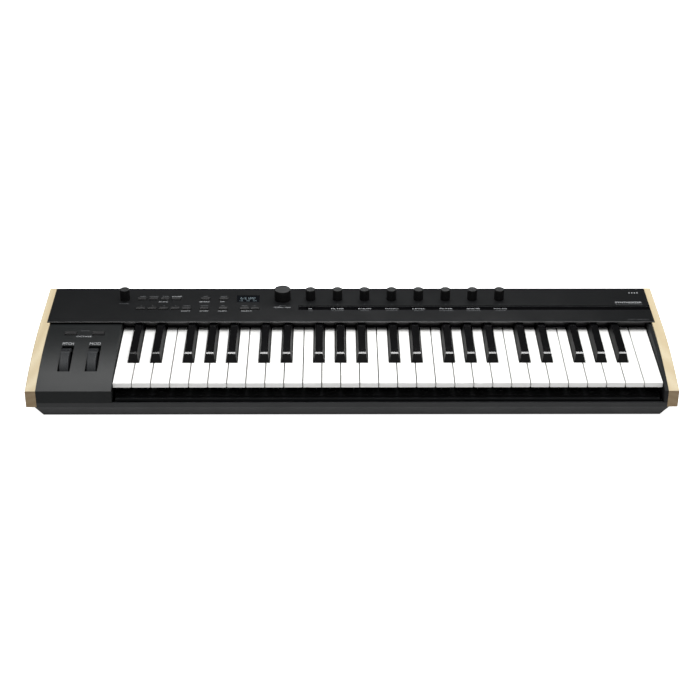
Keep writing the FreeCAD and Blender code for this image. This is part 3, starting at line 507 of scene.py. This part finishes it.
def thumb_wheel(node):
    """Grooved wheel with dished sides and its axle, the size of the CAD node."""
    low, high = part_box(node)
    x, y, z = joint_places[node + "_turn"]
    radius = (high.y - low.y) / 2
    half = WHEEL_WIDTH / 2
    wheel = begin(node + "_rim", "cylinder", vertices=128, radius=radius, depth=WHEEL_WIDTH,
                  location=(x, y, z), rotation=(0, math.pi / 2, 0))
    wheel.data.materials.append(soft_touch)
    bpy.ops.object.mode_set(mode="EDIT")
    pick(wheel, "EDGE", lambda e: all(abs(v.co.x - x) > half - CLOSE for v in e.verts)
         and abs(e.verts[0].co.x - e.verts[1].co.x) < CLOSE)
    bpy.ops.mesh.bevel(offset=WHEEL_ROUNDING, segments=3, affect="EDGES")
    middles = [x + (number - (GROOVES - 1) / 2) * GROOVE_PITCH for number in range(GROOVES)]
    for centre in middles:
        for side in (-GROOVE_WIDTH / 2, GROOVE_WIDTH / 2):
            bpy.ops.mesh.select_all(action="SELECT")
            bpy.ops.mesh.bisect(plane_co=(centre + side, 0, 0), plane_no=(1, 0, 0))
    pick(wheel, "FACE", lambda f: abs(f.normal.x) < 0.3
         and any(abs(middle(f).x - centre) < GROOVE_WIDTH / 2 for centre in middles))
    bpy.ops.mesh.inset(thickness=GROOVE_SLOPE, depth=-GROOVE_DEPTH)
    pick(wheel, "FACE", lambda f: abs(f.normal.x) > 0.99 and len(f.verts) > 60)
    bpy.ops.mesh.inset(thickness=TYRE_HEIGHT, depth=0.0)
    bpy.ops.mesh.inset(thickness=DISH_SLOPE, depth=-DISH_DEPTH)
    bpy.ops.object.mode_set(mode="OBJECT")
    # The notch is cut by a rod laid across the wheel, its axis a little above the rim.
    cutter = begin(node + "_cutter", "cylinder", vertices=48, radius=NOTCH_RADIUS, depth=WHEEL_WIDTH * 2,
                   location=(x, y, z + radius + NOTCH_RISE), rotation=(0, math.pi / 2, 0))
    bpy.ops.object.select_all(action="DESELECT")
    bpy.context.view_layer.objects.active = wheel
    wheel.select_set(True)
    notch = wheel.modifiers.new("finger_notch", "BOOLEAN")
    notch.operation = "DIFFERENCE"
    notch.object = cutter
    bpy.ops.object.modifier_apply(modifier=notch.name)
    bpy.data.objects.remove(cutter)
    axle = begin(node + "_axle", "cylinder", vertices=32, radius=AXLE_RADIUS, depth=high.x - low.x,
                 location=((low.x + high.x) / 2, y, z), rotation=(0, math.pi / 2, 0))
    axle.data.materials.append(soft_touch)
    bpy.ops.object.mode_set(mode="EDIT")
    pick(axle, "EDGE", lambda e: abs(e.verts[0].co.x - e.verts[1].co.x) < CLOSE)
    bpy.ops.mesh.bevel(offset=AXLE_CHAMFER, segments=2, affect="EDGES")
    bpy.ops.object.mode_set(mode="OBJECT")
    whole = join([wheel, axle], node + "_grooved")
    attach(whole, node)
    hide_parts(node)


thumb_wheel("pitch_wheel")
thumb_wheel("mod_wheel")

# ---------------------------------------------------------------------------
# Push buttons: black caps with rounded corners and a shallow finger dish,
# each moulded with a stem that reaches its switch on the board.
CAP_HEIGHT = 4.3 * MM
CAP_CORNER = 1.1 * MM
CAP_ROUNDING = 0.25 * MM
CAP_RIM = 0.2 * MM
CAP_DISH_SLOPE = 0.4 * MM
CAP_DISH = 0.15 * MM
STEM_RADIUS = 1.5 * MM
STEM_OVERLAP = 0.2 * MM
STEM_CHAMFER = 0.2 * MM

# Button ABS: nearly as black as the knobs, with a fine matt grain.
button_abs = moulded("satin_button_abs", "050506", "08080a", 0.7, (0.55, 0.65), 0.02)


def button_cap(x, y, width, depth, low, top):
    """One cap and its stem."""
    cap = begin("cap", "cube", size=1, location=(x, y, top - CAP_HEIGHT / 2),
                scale=(width, depth, CAP_HEIGHT))
    cap.data.materials.append(button_abs)
    bpy.ops.object.mode_set(mode="EDIT")
    pick(cap, "EDGE", lambda e: abs(e.verts[0].co.z - e.verts[1].co.z) > CLOSE)
    bpy.ops.mesh.bevel(offset=CAP_CORNER, segments=4, affect="EDGES")
    pick(cap, "EDGE", lambda e: all(v.co.z > top - CLOSE for v in e.verts))
    bpy.ops.mesh.bevel(offset=CAP_ROUNDING, segments=2, affect="EDGES")
    pick(cap, "FACE", lambda f: f.normal.z > 0.99 and len(f.verts) > 8)
    bpy.ops.mesh.inset(thickness=CAP_RIM, depth=0.0)
    bpy.ops.mesh.inset(thickness=CAP_DISH_SLOPE, depth=-CAP_DISH)
    bpy.ops.object.mode_set(mode="OBJECT")
    base = top - CAP_HEIGHT + STEM_OVERLAP
    stem = begin("stem", "cylinder", vertices=24, radius=STEM_RADIUS, depth=base - low,
                 location=(x, y, (base + low) / 2))
    stem.data.materials.append(button_abs)
    bpy.ops.object.mode_set(mode="EDIT")
    pick(stem, "EDGE", lambda e: all(v.co.z < low + CLOSE for v in e.verts))
    bpy.ops.mesh.bevel(offset=STEM_CHAMFER, segments=2, affect="EDGES")
    bpy.ops.object.mode_set(mode="OBJECT")
    return [cap, stem]


def button_group(node, count, width):
    """All the caps of one node, spread evenly over its box."""
    low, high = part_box(node)
    step = (high.x - low.x - width) / max(count - 1, 1)
    parts = []
    for number in range(count):
        x = low.x + width / 2 + number * step
        parts += button_cap(x, (low.y + high.y) / 2, width, high.y - low.y, low.z, high.z)
    whole = join(parts, node + "_dished")
    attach(whole, node)
    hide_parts(node)


BUTTON_WIDTH = 11.8 * MM
OCTAVE_BUTTON_WIDTH = 15.4 * MM
button_counts = {"upper_grid_buttons": 4, "lower_grid_buttons": 4, "menu_buttons": 2,
                 "shift_button": 1, "upper_left_button": 1, "lower_left_button": 1,
                 "upper_right_button": 1, "lower_right_button": 1}
for node, count in button_counts.items():
    button_group(node, count, BUTTON_WIDTH)
for node in ("octave_down_button", "octave_up_button"):
    button_group(node, 1, OCTAVE_BUTTON_WIDTH)
dress(["power_button"], button_abs)

# ---------------------------------------------------------------------------
# Printing: pale screen-printed labels, a few hundredths of a millimetre thick,
# that follow the surface they are printed on. The words are generic.
INK_THICKNESS = 0.04 * MM
STROKE = 0.012
# The height from which each point of a label drops onto its surface.
DROP_FROM = 0.2

# Ink: flat pale grey, slightly patchy where the screen left it thin.
bright_ink = moulded("screen_printed_ink", "8e9092", "a2a4a6", 0.8, (0.6, 0.7), 0.005)
faint_ink = moulded("dim_printed_ink", "4c4e50", "5a5c5e", 0.8, (0.6, 0.7), 0.005)


def printed(surface, words, left, right, y, depth, ink):
    """Words laid on a CAD node. They fill the space from left to right and are depth long in Y, in mm.
    The strokes are thickened, but not in words with an M, which would close up."""
    bpy.ops.object.select_all(action="DESELECT")
    bpy.ops.object.text_add()
    text = bpy.context.object
    text.data.body = words
    text.data.resolution_u = 3
    text.data.offset = 0.0 if "M" in words else STROKE
    bpy.ops.object.convert(target="MESH")
    label = bpy.context.object
    label.data.materials.clear()
    label.data.materials.append(ink)
    bpy.ops.object.mode_set(mode="EDIT")
    bpy.ops.mesh.select_all(action="SELECT")
    bpy.ops.mesh.remove_doubles(threshold=0.0001)
    bpy.ops.mesh.select_all(action="SELECT")
    bpy.ops.mesh.extrude_region_move(TRANSFORM_OT_translate={"value": (0, 0, 1)})
    bpy.ops.mesh.select_all(action="SELECT")
    bpy.ops.mesh.normals_make_consistent(inside=False)
    bpy.ops.object.mode_set(mode="OBJECT")
    xs = [v.co.x for v in label.data.vertices]
    ys = [v.co.y for v in label.data.vertices]
    for vertex in label.data.vertices:
        share_x = (vertex.co.x - min(xs)) / (max(xs) - min(xs))
        share_y = (vertex.co.y - min(ys)) / (max(ys) - min(ys))
        px = (left + (right - left) * share_x) * MM
        py = (y + depth * (share_y - 0.5)) * MM
        hit = nodes[surface].ray_cast(Vector((px, py, DROP_FROM)), Vector((0, 0, -1)))[1]
        vertex.co = (px, py, hit.z + vertex.co.z * INK_THICKNESS)
    return label


def print_run(name, surface, rows):
    """One piece from many labels, each given as words, left, right, y, depth and ink."""
    labels = [printed(surface, *row) for row in rows]
    whole = join(labels, name)
    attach(whole, "case")


GRID_X = (-277.3, -262.2, -247.1, -232.0)
KNOB_X = [joint_places["knob_" + str(number + 1) + "_turn"][0] / MM for number in range(8)]
# Y of the lines of words over and under the two rows of buttons.
OVER_UPPER, UNDER_UPPER, OVER_LOWER, UNDER_LOWER = 91.3, 76.7, 66.1, 51.8
# Half the width of a 1, which is only a stroke.
HALF_ONE = 0.2
rows = []
for x, words in zip(GRID_X, ("ARP", "HOLD", "TAP", "CHORD")):
    half = 1.35 * len(words)
    rows.append((words, x - half, x + half, OVER_UPPER, 2.2, bright_ink if words == "CHORD" else faint_ink))
for x, words in zip(GRID_X, "1234"):
    half = HALF_ONE if words == "1" else 0.7
    rows.append((words, x - half, x + half, OVER_LOWER, 2.0, faint_ink))
rows.append(("SCALE", -255.0, -243.0, UNDER_UPPER, 2.2, bright_ink))
rows.append(("PLAY", -196.5, -190.5, OVER_UPPER, 2.0, faint_ink))
rows.append(("RECORD", -201.0, -187.8, UNDER_UPPER, 2.2, bright_ink))
rows.append(("EDIT", -173.5, -165.0, OVER_UPPER, 2.0, faint_ink))
rows.append(("EXIT", -173.2, -167.8, UNDER_UPPER, 2.2, bright_ink))
rows.append(("MODE", -221.5, -212.5, OVER_LOWER, 2.0, faint_ink))
rows.append(("SHIFT", -223.5, -211.5, UNDER_LOWER, 2.2, bright_ink))
rows.append(("LOOP", -198.0, -189.0, OVER_LOWER, 2.0, faint_ink))
rows.append(("STORE", -199.2, -188.0, UNDER_LOWER, 2.2, bright_ink))
rows.append(("SET", -171.5, -167.0, OVER_LOWER, 2.0, faint_ink))
rows.append(("GLOBAL", -175.4, -163.2, UNDER_LOWER, 2.2, bright_ink))
rows.append(("PAGE", -144.5, -137.0, OVER_LOWER, 2.0, faint_ink))
rows.append(("+", -129.0, -126.0, OVER_LOWER, 2.0, faint_ink))
rows.append(("SELECT", -144.5, -130.5, UNDER_LOWER, 2.2, bright_ink))
rows.append(("VOLUME", -307.0, -294.0, 71.7, 2.2, faint_ink))
rows.append(("MAIN", -95.0, -87.0, 66.0, 1.8, faint_ink))
rows.append(("PROGRAM / VALUE", -102.0, -80.0, 61.4, 2.4, bright_ink))
for number, x in enumerate(KNOB_X):
    half = HALF_ONE if number == 0 else 0.6
    rows.append((str(number + 1), x - half, x + half, 70.0, 1.8, faint_ink))
for x, words in zip(KNOB_X, ("ON", "CUTOFF", "RESO", "ATTACK", "DECAY", "SUSTAIN", "RELEASE", "DRIVE")):
    half = 1.3 * len(words)
    rows.append((words, x - half, x + half, 52.4, 1.8, faint_ink))
rows.append(("SYNTHESIZER", 350.4, 386.1, 74.4, 4.2, bright_ink))
rows.append(("49 KEY DIGITAL INSTRUMENT", 350.4, 386.1, 68.4, 1.6, faint_ink))
rows.append(("||||", 372.5, 384.5, 100.9, 3.0, bright_ink))
rows.append(("FORTY NINE KEYS", 361.0, 388.0, 28.7, 1.4, faint_ink))
print_run("panel_print", "top_panel", rows)

rows = []
for number, x in enumerate(KNOB_X):
    half = 2.8 if number == 0 else 8.5
    words = "VEL" if number == 0 else ("LEVEL", "FILTER", "ENVELOPE", "MACRO")[number % 4]
    rows.append((words, x - half, x + half, 58.6, 2.2, bright_ink))
print_run("strip_print", "strip_lens", rows)

rows = [("PITCH", -368.5, -354.2, -24.5, 5.6, bright_ink),
        ("MOD", -334.0, -320.0, -24.5, 5.6, bright_ink),
        ("OCTAVE", -353.0, -333.5, -7.7, 2.8, bright_ink),
        ("TRANSPOSE", -349.0, -338.0, 6.0, 1.6, faint_ink)]
print_run("wheel_panel_print", "wheel_panel", rows)

# ---------------------------------------------------------------------------
# Display picture: pale blue lit segments on the window, showing a program
# name, a wavy line and three values, over a fine checker of dots.
DOT_MM = 0.8
lit, tree, shader = material("lit_display_segments", {"Roughness": 0.4, "Emission Strength": 0.06,
                                                      "Emission Color": linear("b4c4c8")})
place = add(tree, "TexCoord").outputs["Object"]
dots = add(tree, "TexChecker", {"Color1": linear("66747a"), "Color2": linear("525e64"),
                                "Scale": 1 / (DOT_MM * MM)}, {"Vector": place})
tree.links.new(dots.outputs["Color"], shader.inputs["Base Color"])
rows = [("A-12  LEAD", -147.5, -127.0, 87.6, 3.4, lit), ("~ ~ ~ ~", -146.5, -128.0, 84.3, 1.2, lit)]
rows += [("123", left, left + 4.2, 80.0, 2.2, lit) for left in (-148.0, -139.0, -130.0)]
print_run("display_picture", "display_lens", rows)
